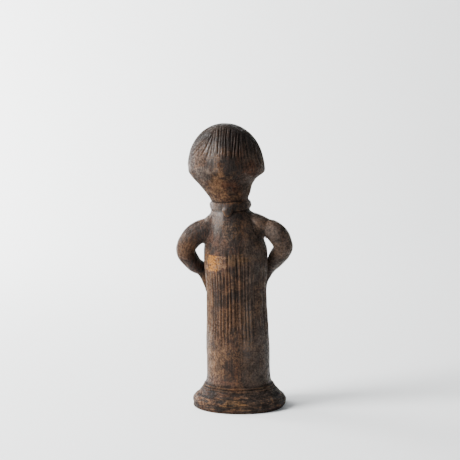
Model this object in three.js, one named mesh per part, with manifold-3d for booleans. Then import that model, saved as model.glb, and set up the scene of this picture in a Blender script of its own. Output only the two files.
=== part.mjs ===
// A small hollow-built clay figure in the haniwa manner: a combed robe on a ringed foot, arms akimbo with
// the hands laid on the front of the hips, a rolled collar and a bobbed head of combed hair.
// Millimetres, +Z up. The figure faces -Y, and its left arm is on the +X side.
import * as THREE from "three";
import { mergeVertices } from "three/addons/utils/BufferGeometryUtils.js";
import Module from "manifold-3d";

const wasm = await Module();
wasm.setup();

// Heights, stacked from the ground up
const FOOT_HEIGHT = 18.6;
const ROBE_HEIGHT = 131.4;
const NECK_HEIGHT = 10;
const HEAD_HEIGHT = 60;

// Foot: a thick round flange with a rounded rim and two turned grooves
const FOOT_RADIUS = 36;
const FOOT_RIM_HEIGHT = 9;
const FOOT_UNDERCUT = 1;
const FOOT_GROOVE_DEPTH = 0.7;
const FOOT_GROOVE_PITCH = 2.1;

// Robe: radii from hem to shoulder
const HEM_RADIUS = 25.2;
const SKIRT_RADIUS = 24;
const WAIST_RADIUS = 22.8;
const CHEST_RADIUS = 24;
const SHOULDER_RADIUS = 16.6;
const NECK_RADIUS = 14;
const ROBE_DEPTH_RATIO = 0.96;

// Clay wall of the hollow body and head
const WALL = 6;
const MOUTH_FLARE = 2;

// Combing of the robe and the hair
const ROBE_TEETH = 46;
const HAIR_TEETH = 32;
const COMB_DEPTH = 0.8;

// Head: a wide bob over a narrow nape
const HEAD_WIDTH = 58;
const HEAD_DEPTH = 51;
const BOB_DROP = 22;
const HAIR_EDGE = 5;

// Face: an oval set back behind the fringe
const FACE_WIDTH = 39;
const FACE_HEIGHT = 38;
const FACE_DEPTH = 16;
const FACE_INSET = 2.2;
const FACE_CHIN_GAP = 3;
const EYE_WIDTH = 8.6;
const EYE_HEIGHT = 3.2;
const EYE_SPACING = 17;
const EYE_RISE = 3.8;
const MOUTH_WIDTH = 9;
const MOUTH_HEIGHT = 2.4;
const MOUTH_FALL = 11;
const NOSE_LENGTH = 13;
const NOSE_WIDTH = 6.4;
const NOSE_BRIDGE = 1.8;
const NOSE_HEIGHT = 3.9;
const NOSE_TILT = 0.16;

// Collar: a roll of clay that flattens into a band at the nape, with a small tab under it
const COLLAR_RADIUS = 2.7;
const COLLAR_FORWARD = 2.4;
const COLLAR_PROUD = 1.4;
const COLLAR_FLATNESS = 0.3;
const COLLAR_TILT = 0.1;
const TAB_WIDTH = 8.4;
const TAB_HEIGHT = 8;
const TAB_THICKNESS = 3;
const TAB_OFFSET = 1.5;

// Arms: rolled coils
const ELBOW_REACH = 44.6;
const ARM_RADIUS = 8.2;
const ELBOW_RADIUS = 7.3;
const WRIST_RADIUS = 5.2;
const ROOT_DROP = 11.5;
const ROOT_SUNK = 6;
const UPPER_INSET = 8.6;
const LOWER_INSET = 5;
const ELBOW_RISE = 12;
const HAND_RISE = 9;
const HAND_SUNK = 0.8;
const HAND_TURN = 0.66;
const HAND_WIDTH = 13;
const HAND_THICKNESS = 6.4;
const LEFT_ARM_TURN = 0.02;
const RIGHT_ARM_TURN = 0.3;
const RIGHT_ARM_LIFT = 3.4;
const FINGER_COUNT = 4;
const FINGER_LENGTH = 10;
const FINGER_GROOVE = 1;

// Lean of the figure towards +X, from the foot to the head
const FOOT_SHIFT = -3.7;
const BODY_LEAN = 3.7;
const HEAD_SHIFT = 5.6;

// Facet counts
const FOOT_SIDES = 46;
const HOLLOW_SIDES = 22;
const ARM_SIDES = 12;
const ARM_STEPS = 18;
const COLLAR_SIDES = 24;
const FACE_SIDES = 22;
const OVAL_STEPS = 20;
const SLOT_STEPS = 5;

const shoulderZ = FOOT_HEIGHT + ROBE_HEIGHT;
const neckZ = shoulderZ + NECK_HEIGHT;
const crownZ = neckZ + HEAD_HEIGHT;
const chestZ = FOOT_HEIGHT + 0.79 * ROBE_HEIGHT;
const waistZ = FOOT_HEIGHT + 0.53 * ROBE_HEIGHT;
const skirtZ = FOOT_HEIGHT + 0.25 * ROBE_HEIGHT;
const bobZ = neckZ + BOB_DROP;
const widestZ = bobZ + HAIR_EDGE;
const smooth = THREE.MathUtils.smoothstep;

// Sideways place of the figure's centre line at a height
function lean(z) {
  return FOOT_SHIFT + (BODY_LEAN * z) / shoulderZ + HEAD_SHIFT * smooth(z, shoulderZ - 20, bobZ - 1);
}

// A closed mesh as a solid, turned the right way out
function solid(geometry) {
  const bare = geometry.clone();
  bare.deleteAttribute("normal");
  bare.deleteAttribute("uv");
  const merged = mergeVertices(bare, 1e-3);
  const triVerts = new Uint32Array(merged.index.array);
  const mesh = { numProp: 3, vertProperties: merged.attributes.position.array, triVerts };
  const made = new wasm.Manifold(new wasm.Mesh(mesh));
  if (made.volume() > 0) return made;
  for (let i = 0; i < triVerts.length; i += 3) {
    [triVerts[i + 1], triVerts[i + 2]] = [triVerts[i + 2], triVerts[i + 1]];
  }
  return new wasm.Manifold(new wasm.Mesh(mesh));
}

// Moves every vertex of a geometry by a function of its place
function warp(geometry, move) {
  const place = geometry.attributes.position;
  const point = new THREE.Vector3();
  for (let i = 0; i < place.count; i += 1) {
    point.fromBufferAttribute(place, i);
    move(point);
    place.setXYZ(i, point.x, point.y, point.z);
  }
  return geometry;
}

// A profile of [radius, height] pairs spun about +Z and set on the leaning centre line
function spun(profile, sides, shape = () => {}) {
  const points = profile.map(([radius, height]) => new THREE.Vector2(radius, height));
  const geometry = new THREE.LatheGeometry(points, sides).rotateX(Math.PI / 2);
  return solid(
    warp(geometry, (point) => {
      shape(point);
      point.x += lean(point.z);
    }),
  );
}

// Points along a smooth curve through [radius, height] pairs
function curveThrough(pairs, count) {
  const curve = new THREE.SplineCurve(pairs.map(([radius, height]) => new THREE.Vector2(radius, height)));
  return curve.getPoints(count).map((p) => [p.x, p.y]);
}

// Outer edge of the robe, from under the foot's top to the neck
const robeEdge = curveThrough(
  [
    [HEM_RADIUS, FOOT_HEIGHT],
    [SKIRT_RADIUS, FOOT_HEIGHT + 8],
    [SKIRT_RADIUS, skirtZ],
    [WAIST_RADIUS, waistZ],
    [CHEST_RADIUS, chestZ],
    [SHOULDER_RADIUS, shoulderZ],
    [NECK_RADIUS, shoulderZ + 0.35 * NECK_HEIGHT],
    [NECK_RADIUS, neckZ],
  ],
  14,
);

// Radius of a spun edge at a height
function radiusAt(edge, z) {
  const above = edge.findIndex(([, height]) => height >= z);
  if (above < 1) return edge[above === 0 ? 0 : edge.length - 1][0];
  const [r0, z0] = edge[above - 1];
  const [r1, z1] = edge[above];
  return THREE.MathUtils.lerp(r0, r1, (z - z0) / (z1 - z0));
}

// Pushes a point in or out by the comb's teeth, where strength is from 0 to 1
function comb(point, teeth, strength) {
  const angle = Math.atan2(point.y, point.x);
  const radius = Math.hypot(point.x, point.y);
  const scale = 1 + (0.5 * COMB_DEPTH * strength * Math.cos(angle * teeth)) / Math.max(radius, 1);
  point.x *= scale;
  point.y *= scale;
}

function foot() {
  const grooveZ = FOOT_HEIGHT - FOOT_GROOVE_PITCH;
  const rim = new THREE.EllipseCurve(
    FOOT_RADIUS - FOOT_RIM_HEIGHT / 2,
    FOOT_RIM_HEIGHT * 0.55,
    FOOT_RIM_HEIGHT / 2,
    FOOT_RIM_HEIGHT * 0.55,
    -0.45 * Math.PI,
    0.4 * Math.PI,
  );
  const edge = rim.getPoints(5).map((p) => [p.x, Math.max(p.y, 0)]);
  const slope = (FOOT_RADIUS + HEM_RADIUS) / 2;
  return spun(
    [
      [0, 0],
      [FOOT_RADIUS - FOOT_UNDERCUT, 0],
      ...edge.slice(1),
      [slope + 1, FOOT_RIM_HEIGHT + 3.2],
      [HEM_RADIUS + 2.2, grooveZ],
      [HEM_RADIUS + 1 - FOOT_GROOVE_DEPTH, grooveZ + 0.5],
      [HEM_RADIUS + 1, grooveZ + 1],
      [HEM_RADIUS + 0.9, FOOT_HEIGHT - 0.4],
      [HEM_RADIUS - FOOT_GROOVE_DEPTH, FOOT_HEIGHT],
      [0, FOOT_HEIGHT],
    ],
    FOOT_SIDES,
  );
}

function robe() {
  const low = FOOT_HEIGHT - 4;
  return spun([[0, low], [HEM_RADIUS - 1, low], ...robeEdge, [0, neckZ]], 2 * ROBE_TEETH, (point) => {
    const z = point.z;
    const strength = smooth(z, skirtZ - 20, skirtZ) * (1 - smooth(z, chestZ - 8, chestZ));
    comb(point, ROBE_TEETH, strength);
    point.y *= THREE.MathUtils.lerp(1, ROBE_DEPTH_RATIO, smooth(z, FOOT_HEIGHT, waistZ));
  });
}

// Outer edge of the hair: the nape, the bob's lower edge and the dome above it
const halfWidth = HEAD_WIDTH / 2;
const dome = new THREE.EllipseCurve(0, widestZ, halfWidth, crownZ - widestZ, 0, Math.PI / 2);
const hairEdge = [
  [NECK_RADIUS, neckZ - 2],
  [NECK_RADIUS, neckZ + 1],
  [NECK_RADIUS + 0.18 * (halfWidth - NECK_RADIUS), neckZ + 0.32 * BOB_DROP],
  [NECK_RADIUS + 0.4 * (halfWidth - NECK_RADIUS), neckZ + 0.68 * BOB_DROP],
  [halfWidth - 4, bobZ - 2.6],
  [halfWidth - 1.1, bobZ + 0.6],
  ...dome.getPoints(7).map((p) => [p.x, p.y]),
];

// Squeezes the round head to its true depth
function flatten(point) {
  point.y *= THREE.MathUtils.lerp(1, HEAD_DEPTH / HEAD_WIDTH, smooth(point.z, neckZ, bobZ));
}

function hair() {
  return spun([[0, neckZ - 2], ...hairEdge], 2 * HAIR_TEETH, (point) => {
    const strength = smooth(point.z, bobZ + 2, bobZ + 14) * (1 - smooth(point.z, crownZ - 6, crownZ - 1));
    comb(point, HAIR_TEETH, strength);
    flatten(point);
  });
}

// Middle of the face across and up, and the front of the hair there
const faceX = lean(widestZ);
const faceZ = neckZ + FACE_CHIN_GAP + FACE_HEIGHT / 2;
const faceY = -HEAD_DEPTH / 2;

// A prism of an outline, cut through the front of the head from the depth yBack outwards
function frontPrism(outline, curveSegments, x, z, yBack) {
  const settings = { depth: HEAD_DEPTH, bevelEnabled: false, curveSegments };
  const geometry = new THREE.ExtrudeGeometry(outline, settings);
  return solid(geometry.rotateX(Math.PI / 2).translate(x, yBack, z));
}

// An almond outline, pointed at both ends
function almond(width, height) {
  const outline = new THREE.Shape();
  outline.moveTo(-width / 2, 0);
  outline.quadraticCurveTo(0, -height, width / 2, 0);
  outline.quadraticCurveTo(0, height, -width / 2, 0);
  return outline;
}

// The face is the front of an egg that reaches a little under the hair all round
function face() {
  const egg = new THREE.SphereGeometry(1, FACE_SIDES, FACE_SIDES / 2);
  egg.scale(FACE_WIDTH / 2 + 1, FACE_DEPTH, FACE_HEIGHT / 2 + FACE_CHIN_GAP);
  return solid(egg.translate(faceX, faceY + FACE_INSET + FACE_DEPTH, faceZ - 1));
}

function nose() {
  const wedge = new THREE.CylinderGeometry(NOSE_BRIDGE / 2, NOSE_WIDTH / 2, NOSE_LENGTH, 6);
  wedge.rotateX(Math.PI / 2).rotateZ(Math.PI / 6);
  wedge.scale(1, (2 * NOSE_HEIGHT) / NOSE_WIDTH, 1);
  wedge.rotateX(-NOSE_TILT);
  return solid(wedge.translate(faceX, faceY + FACE_INSET + 0.4, faceZ + 0.5));
}

function collar() {
  const radius = NECK_RADIUS + COLLAR_PROUD - COLLAR_RADIUS;
  const ring = new THREE.TorusGeometry(radius, COLLAR_RADIUS, COLLAR_SIDES / 3, COLLAR_SIDES);
  return solid(
    warp(ring, (point) => {
      const back = smooth(point.y / radius, -0.2, 0.7);
      const out = Math.hypot(point.x, point.y);
      const trim = 1 - (COLLAR_FLATNESS * back * Math.max(out - radius, 0)) / out;
      point.x *= trim;
      point.y = point.y * trim - COLLAR_FORWARD * (1 - back);
      point.z = point.z * (1 + COLLAR_FLATNESS * back) + shoulderZ + 0.55 * NECK_HEIGHT;
      point.z -= COLLAR_TILT * point.x;
      point.x += lean(point.z);
    }),
  );
}

function tab() {
  const lobe = new THREE.SphereGeometry(1, 12, 8);
  lobe.scale(TAB_WIDTH / 2, TAB_THICKNESS / 2, TAB_HEIGHT / 2);
  const y = radiusAt(robeEdge, shoulderZ) * ROBE_DEPTH_RATIO;
  return solid(lobe.rotateX(0.4).translate(lean(shoulderZ) + TAB_OFFSET, y, shoulderZ + 0.8));
}

// A coil of clay along a curve: radius and flatness vary, and it is flattened against the robe behind it
function coil(points, radii) {
  const curve = new THREE.CatmullRomCurve3(points, false, "centripetal");
  const frames = curve.computeFrenetFrames(ARM_STEPS, false);
  const tube = new THREE.CylinderGeometry(1, 1, 1, ARM_SIDES, ARM_STEPS);
  return solid(
    warp(tube, (point) => {
      const step = Math.round((point.y + 0.5) * ARM_STEPS);
      const centre = curve.getPointAt(step / ARM_STEPS);
      const size = radii(step / ARM_STEPS);
      const around = new THREE.Vector3()
        .addScaledVector(frames.normals[step], point.x)
        .addScaledVector(frames.binormals[step], point.z);
      const away = new THREE.Vector3(centre.x - lean(centre.z), centre.y, 0);
      away.addScaledVector(frames.tangents[step], -away.dot(frames.tangents[step])).normalize();
      const outward = around.dot(away);
      around.multiplyScalar(size.wide).addScaledVector(away, outward * (size.thick - size.wide));
      point.copy(centre).add(around);
    }),
  );
}

// Place on the robe at an angle forward of the side, a height and a distance proud of it
function onRobe(side, angle, z, proud) {
  const radius = radiusAt(robeEdge, z) + proud;
  return new THREE.Vector3(
    lean(z) + side * radius * Math.cos(angle),
    -radius * ROBE_DEPTH_RATIO * Math.sin(angle),
    z,
  );
}

// Widths along an arm from shoulder to fingertips
const armSizes = [
  [0, ARM_RADIUS, ARM_RADIUS],
  [0.3, ARM_RADIUS, ARM_RADIUS],
  [0.5, ELBOW_RADIUS, ELBOW_RADIUS],
  [0.72, WRIST_RADIUS, WRIST_RADIUS],
  [0.85, HAND_WIDTH / 2, HAND_THICKNESS / 2],
  [0.97, HAND_WIDTH / 2 - 0.8, HAND_THICKNESS / 2 - 0.3],
  [1, HAND_WIDTH / 2 - 3, HAND_THICKNESS / 2 - 1.4],
];

function armSize(t) {
  const next = Math.max(1, armSizes.findIndex(([at]) => at >= t));
  const [t0, w0, k0] = armSizes[next - 1];
  const [t1, w1, k1] = armSizes[next];
  const u = (t - t0) / (t1 - t0);
  return { wide: THREE.MathUtils.lerp(w0, w1, u), thick: THREE.MathUtils.lerp(k0, k1, u) };
}

// One arm with its hand. Side is 1 for +X and -1 for -X, turn moves the root towards the back, and lift
// raises the elbow and carries the hand further round to the front.
function arm(side, lift, turn) {
  const elbowZ = chestZ + lift;
  const handZ = waistZ + HAND_RISE;
  const palm = HAND_THICKNESS / 2 - HAND_SUNK;
  const elbowX = side * (ELBOW_REACH - ELBOW_RADIUS);
  const inward = 0.06 * lift;
  const handTurn = HAND_TURN + 0.5 * inward;
  const points = [
    onRobe(side, -turn, shoulderZ - ROOT_DROP + lift, -ROOT_SUNK),
    new THREE.Vector3(elbowX - side * UPPER_INSET, 20 * turn, elbowZ + ELBOW_RISE + 0.3 * lift),
    new THREE.Vector3(elbowX, 4 * turn, elbowZ),
    new THREE.Vector3(elbowX - side * LOWER_INSET, -ROOT_SUNK, elbowZ - ELBOW_RISE + 0.24 * lift),
    onRobe(side, 0.42 + inward, handZ + 7, WRIST_RADIUS),
    onRobe(side, 0.54 + inward, handZ - 2, palm + 0.2),
    onRobe(side, handTurn, handZ - 11, palm),
  ];
  const hand = coil(points, armSize);
  const tip = points[points.length - 1];
  const grooves = [];
  for (let i = 1; i < FINGER_COUNT; i += 1) {
    const across = (i / FINGER_COUNT - 0.5) * (HAND_WIDTH - 1.6);
    const angle = handTurn + across / (radiusAt(robeEdge, tip.z) + palm);
    const place = onRobe(side, angle, tip.z + FINGER_LENGTH / 2 - 2, HAND_THICKNESS - HAND_SUNK);
    const cut = new THREE.BoxGeometry(2 * FINGER_GROOVE, FINGER_GROOVE, FINGER_LENGTH);
    cut.rotateY(side * 0.06).rotateZ(-side * angle);
    grooves.push(solid(cut.translate(place.x, place.y, place.z)));
  }
  return grooves.reduce((made, groove) => made.subtract(groove), hand);
}

// The hollow from the open underside up through the neck into the head
function hollow() {
  const inside = [1, 4, 6, 8, 10].map((i) => [robeEdge[i][0] - WALL, robeEdge[i][1]]);
  const headHalf = halfWidth - WALL;
  const domeInside = new THREE.EllipseCurve(0, widestZ, headHalf, crownZ - WALL - widestZ, 0, Math.PI / 2);
  const neckBore = NECK_RADIUS - WALL;
  return spun(
    [
      [0, -1],
      [HEM_RADIUS - WALL + MOUTH_FLARE, -1],
      [HEM_RADIUS - WALL + MOUTH_FLARE, 0.5],
      [HEM_RADIUS - WALL, FOOT_RIM_HEIGHT],
      ...inside,
      [neckBore, neckZ - 4],
      [neckBore, neckZ + 5],
      [neckBore + 0.4 * (headHalf - neckBore), neckZ + 0.72 * BOB_DROP],
      [headHalf - 2, bobZ + 1],
      ...domeInside.getPoints(5).map((p) => [p.x, p.y]),
    ],
    HOLLOW_SIDES,
    (point) => {
      const squeeze = (HEAD_DEPTH / 2 - WALL) / headHalf;
      point.y *= THREE.MathUtils.lerp(ROBE_DEPTH_RATIO, squeeze, smooth(point.z, neckZ, bobZ));
    },
  );
}

// Openings cut through the face into the hollow head
function faceCuts() {
  const inside = -(HEAD_DEPTH / 2 - WALL) / 2;
  const eye = almond(EYE_WIDTH, EYE_HEIGHT);
  const mouth = almond(MOUTH_WIDTH, MOUTH_HEIGHT);
  const eyes = [-1, 1].map((side) =>
    frontPrism(eye, SLOT_STEPS, faceX + (side * EYE_SPACING) / 2, faceZ + EYE_RISE, inside),
  );
  return [...eyes, frontPrism(mouth, SLOT_STEPS, faceX, faceZ - MOUTH_FALL, inside)];
}

function figure() {
  const outline = new THREE.Shape().absellipse(0, 0, FACE_WIDTH / 2, FACE_HEIGHT / 2, 0, 2 * Math.PI);
  const opening = frontPrism(outline, OVAL_STEPS, faceX, faceZ, -HEAD_DEPTH / 4);
  const head = hair().subtract(opening).add(face()).add(nose());
  const arms = [arm(1, 0, LEFT_ARM_TURN), arm(-1, RIGHT_ARM_LIFT, RIGHT_ARM_TURN)];
  const added = [foot(), head, collar(), tab(), ...arms];
  const whole = added.reduce((made, piece) => made.add(piece), robe());
  return [hollow(), ...faceCuts()].reduce((made, cut) => made.subtract(cut), whole);
}

// A solid back as a geometry
function geometryOf(made) {
  const mesh = made.getMesh();
  const geometry = new THREE.BufferGeometry();
  geometry.setAttribute("position", new THREE.BufferAttribute(new Float32Array(mesh.vertProperties), 3));
  geometry.setIndex(new THREE.BufferAttribute(mesh.triVerts, 1));
  geometry.computeVertexNormals();
  return geometry;
}

const clay = new THREE.MeshStandardMaterial({ color: 0x5a4334, roughness: 0.55, metalness: 0 });
const mesh = new THREE.Mesh(geometryOf(figure()), clay);
mesh.name = "figure";
const group = new THREE.Group();
group.add(mesh);

export default group;
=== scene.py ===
"""Models the clay figure's modelled, combed and rubbed surface around its frame, and sets its stage."""
import math
from types import SimpleNamespace

import bmesh
import bpy
import numpy as np
from bpy.props import FloatProperty, FloatVectorProperty, IntProperty, PointerProperty
from mathutils import Matrix, Vector, noise


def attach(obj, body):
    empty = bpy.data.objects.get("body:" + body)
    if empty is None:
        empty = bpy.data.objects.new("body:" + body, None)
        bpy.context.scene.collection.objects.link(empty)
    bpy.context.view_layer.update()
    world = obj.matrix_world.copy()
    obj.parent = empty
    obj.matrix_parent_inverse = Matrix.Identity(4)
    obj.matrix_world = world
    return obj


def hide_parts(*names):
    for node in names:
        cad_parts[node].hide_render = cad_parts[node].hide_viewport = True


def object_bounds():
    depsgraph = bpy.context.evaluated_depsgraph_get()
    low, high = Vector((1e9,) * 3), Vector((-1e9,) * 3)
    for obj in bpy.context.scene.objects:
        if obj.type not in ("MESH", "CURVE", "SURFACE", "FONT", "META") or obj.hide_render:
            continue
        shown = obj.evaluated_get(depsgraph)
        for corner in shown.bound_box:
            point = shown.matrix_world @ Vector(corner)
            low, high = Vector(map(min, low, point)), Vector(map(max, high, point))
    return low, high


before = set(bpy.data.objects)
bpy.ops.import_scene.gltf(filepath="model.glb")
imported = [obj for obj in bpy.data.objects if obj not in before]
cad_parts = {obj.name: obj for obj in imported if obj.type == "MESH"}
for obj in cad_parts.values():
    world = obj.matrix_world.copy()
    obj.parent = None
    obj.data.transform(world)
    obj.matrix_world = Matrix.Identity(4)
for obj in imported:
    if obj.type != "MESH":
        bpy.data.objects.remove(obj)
CAD_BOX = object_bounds()

bl_info = {
    "name": "Combed clay figure",
    "version": (1, 0, 0),
    "blender": (4, 5, 0),
    "location": "View3D > Sidebar > Clay figure",
    "description": "A small hollow-built clay figure with a combed robe and a bobbed head",
    "category": "Add Mesh",
}

NODE = "figure"
MM = 0.001
HEIGHT = (CAD_BOX[1][2] - CAD_BOX[0][2]) / MM

# Heights of the figure's parts in millimetres, from the ground up
FOOT_TOP = 18.6
SHOULDER_Z = 150.0
NECK_Z = 160.0
CROWN_Z = HEIGHT
SKIRT_Z = FOOT_TOP + 0.25 * (SHOULDER_Z - FOOT_TOP)
WAIST_Z = FOOT_TOP + 0.53 * (SHOULDER_Z - FOOT_TOP)
CHEST_Z = FOOT_TOP + 0.79 * (SHOULDER_Z - FOOT_TOP)
BOB_Z = NECK_Z + 22.0
WIDEST_Z = BOB_Z + 5.0
EYE_Z = NECK_Z + 25.8
MOUTH_Z = NECK_Z + 11.0

# Distance of each eye from the middle of the face
EYE_ASIDE = 8.5

# Inputs that place a ragged spot: its middle, then its half sizes
SPOT_BOX = ("Across", "Up", "Half width", "Half height")

# The direction of the back that faces the camera, as an angle from +Y towards +X
CAMERA_TURN = math.radians(-5.0)


def length(name, description, default):
    """A size in metres that the sidebar shows in the scene's unit."""
    return FloatProperty(name=name, description=description, default=default * MM, unit="LENGTH", precision=5)


def colour(name, description, red, green, blue):
    """A colour given in everyday 0 to 255 values."""
    values = []
    for value in (red, green, blue):
        share = value / 255
        values.append(share / 12.92 if share <= 0.04045 else ((share + 0.055) / 1.055) ** 2.4)
    return FloatVectorProperty(
        name=name, description=description, subtype="COLOR", size=3, default=values, min=0, max=1
    )


class ClaySizes(bpy.types.PropertyGroup):
    """Sizes of the modelled figure."""

    foot_radius: length("Foot radius", "Radius of the round foot", 36.0)
    hem_radius: length("Hem radius", "Radius of the robe where it meets the foot", 25.2)
    skirt_radius: length("Skirt radius", "Radius of the lower robe", 24.0)
    waist_radius: length("Waist radius", "Radius at the waist", 22.8)
    chest_radius: length("Chest radius", "Radius at the elbows' height", 24.0)
    shoulder_radius: length("Shoulder radius", "Radius at the shoulders", 16.6)
    neck_radius: length("Neck radius", "Radius of the neck", 14.0)
    robe_depth: FloatProperty(name="Robe depth", description="Depth over width", default=0.96)
    wall: length("Wall", "Thickness of the clay wall", 6.0)
    head_width: length("Head width", "Width of the bobbed hair", 58.0)
    head_depth: length("Head depth", "Depth of the head", 51.0)
    comb_pitch: length("Comb pitch", "Distance between the teeth on the robe", 2.9)
    comb_depth: length("Comb depth", "Depth of the comb's grooves", 0.95)
    hair_pitch: length("Hair pitch", "Distance between the teeth on the hair", 2.2)
    hair_depth: length("Hair depth", "Depth of the hair's grooves", 1.15)
    arm_radius: length("Arm radius", "Radius of the rolled upper arm", 8.2)
    elbow_radius: length("Elbow radius", "Radius of the arm at the elbow", 7.3)
    wrist_radius: length("Wrist radius", "Radius of the arm at the wrist", 5.2)
    elbow_reach: length("Elbow reach", "Distance of the elbow from the middle", 44.6)
    hand_width: length("Hand width", "Width of the flat hand", 13.0)
    hand_thickness: length("Hand thickness", "Thickness of the flat hand", 6.4)
    steps: IntProperty(name="Steps", description="Steps round the figure", default=324, min=96)


class ClayColours(bpy.types.PropertyGroup):
    """Colours of the fired, smoked and rubbed clay."""

    brown: colour("Brown", "Burnished brown slip", 58, 39, 26)
    # dark also serves as painted shade in the hollows.
    dark: colour("Dark", "Smoke-blackened clay", 15, 11, 9)
    # grey also serves as painted fill light on the -X side and as painted sheen on the shoulder and the hair.
    grey: colour("Grey", "Cool smoke on the smooth clay", 82, 70, 62)
    red: colour("Red", "Warm clay where the slip is thin", 74, 42, 24)
    # rubbed also serves as painted highlight on the ridges of the relief.
    rubbed: colour("Rubbed", "Ridges and edges rubbed light", 108, 77, 50)
    ochre: colour("Ochre", "Bare ochre clay in the flaked patch", 142, 94, 42)
    earth: colour("Earth", "Earth held on the surface", 76, 54, 29)
    floor: colour("Floor", "Plain pale stage", 236, 238, 239)


class StageSettings(bpy.types.PropertyGroup):
    """Camera and light of the stage."""

    distance: FloatProperty(name="Distance", description="Camera distance", default=1.76, unit="LENGTH")
    camera_height: FloatProperty(name="Height", description="Camera height", default=0.39, unit="LENGTH")
    pitch: FloatProperty(
        name="Pitch", description="Downward tilt", default=math.radians(8.168), unit="ROTATION"
    )
    focal_pixels: FloatProperty(name="Focal pixels", description="Focal length in pixels", default=2307.0)
    key_power: FloatProperty(
        name="Key power", description="Power of the key light", default=38.0, unit="POWER"
    )


def mm(value):
    """Metres from a size setting as millimetres."""
    return value / MM


def ramp(value, low, high):
    """Smooth step from 0 at low to 1 at high, for arrays."""
    share = np.clip((value - low) / (high - low), 0.0, 1.0)
    return share * share * (3.0 - 2.0 * share)


def window(value, low, high, soft):
    """1 between low and high, falling off over the width soft at each end."""
    return ramp(value, low - soft, low + soft) * (1.0 - ramp(value, high - soft, high + soft))


def bell(value, width):
    """A smooth bump of height 1 at 0."""
    return np.exp(-((value / width) ** 2))


def lean(z):
    """Sideways place of the figure's centre line at a height."""
    foot_aside, head_aside = -3.7, 5.6
    body = foot_aside - foot_aside * z / SHOULDER_Z
    return body + head_aside * ramp(z, SHOULDER_Z - 20.0, BOB_Z - 1.0)


def smooth_curve(points, count):
    """Points along a Catmull-Rom curve, with count steps to each stretch."""
    given = np.array(points, dtype=float)
    padded = np.vstack([2 * given[0] - given[1], given, 2 * given[-1] - given[-2]])
    made = []
    for i in range(len(given) - 1):
        a, b, c, d = padded[i:i + 4]
        square, cube = 2 * a - 5 * b + 4 * c - d, 3 * b - a - 3 * c + d
        for t in np.linspace(0, 1, count, endpoint=False):
            made.append(0.5 * (2 * b + (c - a) * t + square * t**2 + cube * t**3))
    made.append(given[-1])
    return np.array(made)


def robe_edge(sizes):
    """Outer edge of the robe and neck as radius and height."""
    return smooth_curve(
        [
            (mm(sizes.hem_radius), FOOT_TOP),
            (mm(sizes.skirt_radius), FOOT_TOP + 8),
            (mm(sizes.skirt_radius), SKIRT_Z),
            (mm(sizes.waist_radius), WAIST_Z),
            (mm(sizes.chest_radius), CHEST_Z),
            (mm(sizes.shoulder_radius), SHOULDER_Z),
            (mm(sizes.neck_radius), SHOULDER_Z + 3.5),
            (mm(sizes.neck_radius), NECK_Z),
        ],
        16,
    )


def foot_edge(sizes):
    """Outer edge of the foot: rounded rim, shallow steps and the turned rings under the hem."""
    rim, hem = mm(sizes.foot_radius), mm(sizes.hem_radius)
    round_rim = ((1.6, 0.0), (0.9, 0.5), (0.35, 2.2), (0.0, 4.6), (0.3, 6.8), (1.5, 8.6))
    steps = ((3.2, 9.9), (3.9, 10.2), (4.9, 11.6), (6.6, 13.6), (7.4, 14.4))
    rings = ((2.6, 15.0), (2.5, 15.9), (1.1, 16.5), (1.5, 17.3), (1.0, 18.0), (-0.45, FOOT_TOP))
    edge = [(rim - inset, z) for inset, z in round_rim + steps]
    edge += [(hem + proud, z) for proud, z in rings]
    return smooth_curve(edge, 5)[:-1]


def head_edge(sizes):
    """Outer edge of the nape, the bob's lower edge and the dome of the hair."""
    neck = mm(sizes.neck_radius)
    half = mm(sizes.head_width) / 2
    nape = [
        (neck, NECK_Z),
        (neck + 0.3, NECK_Z + 2),
        (neck + 2.7, NECK_Z + 7),
        (neck + 5.6, NECK_Z + 14),
        (half - 4.2, BOB_Z - 2.6),
        (half - 1.1, BOB_Z + 0.6),
        (half, WIDEST_Z),
    ]
    turns = np.linspace(0, math.pi / 2, 60)[1:]
    dome = np.stack([half * np.cos(turns), WIDEST_Z + (CROWN_Z - WIDEST_Z) * np.sin(turns)], axis=1)
    return np.vstack([smooth_curve(nape, 10)[1:], dome])


def row_gap(z):
    """Distance between rows of the mesh along the edge, finer where the carving runs round."""
    gap = 1.45
    foot, collar, hair = (0.9, -1.0, 20.0, 2.0), (0.45, 148.0, 181.0, 6.0), (0.5, 182.0, 230.0, 3.0)
    for less, low, high, soft in (foot, collar, hair):
        gap = gap - less * window(z, low, high, soft)
    return gap


def respaced(edge):
    """The same edge with rows at the wanted distances."""
    step = np.hypot(*np.diff(edge, axis=0).T)
    middle = (edge[1:, 1] + edge[:-1, 1]) / 2
    travelled = np.concatenate([[0.0], np.cumsum(step / row_gap(middle))])
    places = np.linspace(0, travelled[-1], int(travelled[-1]) + 1)
    return np.stack([np.interp(places, travelled, edge[:, i]) for i in (0, 1)], axis=1)


def spun(profile, steps):
    """A closed bmesh spun from a profile that starts and ends on the axis, in millimetres."""
    bm = bmesh.new()
    verts = [bm.verts.new((radius, 0.0, z)) for radius, z in profile]
    edges = [bm.edges.new(pair) for pair in zip(verts, verts[1:])]
    bmesh.ops.spin(
        bm,
        geom=verts + edges,
        axis=(0, 0, 1),
        cent=(0, 0, 0),
        angle=2 * math.pi,
        steps=steps,
        use_merge=True,
    )
    bmesh.ops.remove_doubles(bm, verts=bm.verts, dist=1e-4)
    bmesh.ops.recalc_face_normals(bm, faces=bm.faces)
    return bm


def whole_moved(bm, vec=(0, 0, 0), scale=None, turn=None):
    """Scales a whole bmesh, turns it by (radians, axis), and then shifts it."""
    if scale:
        bmesh.ops.scale(bm, verts=bm.verts, vec=scale)
    if turn:
        bmesh.ops.rotate(bm, verts=bm.verts, matrix=Matrix.Rotation(turn[0], 3, turn[1]))
    bmesh.ops.translate(bm, verts=bm.verts, vec=vec)


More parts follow.
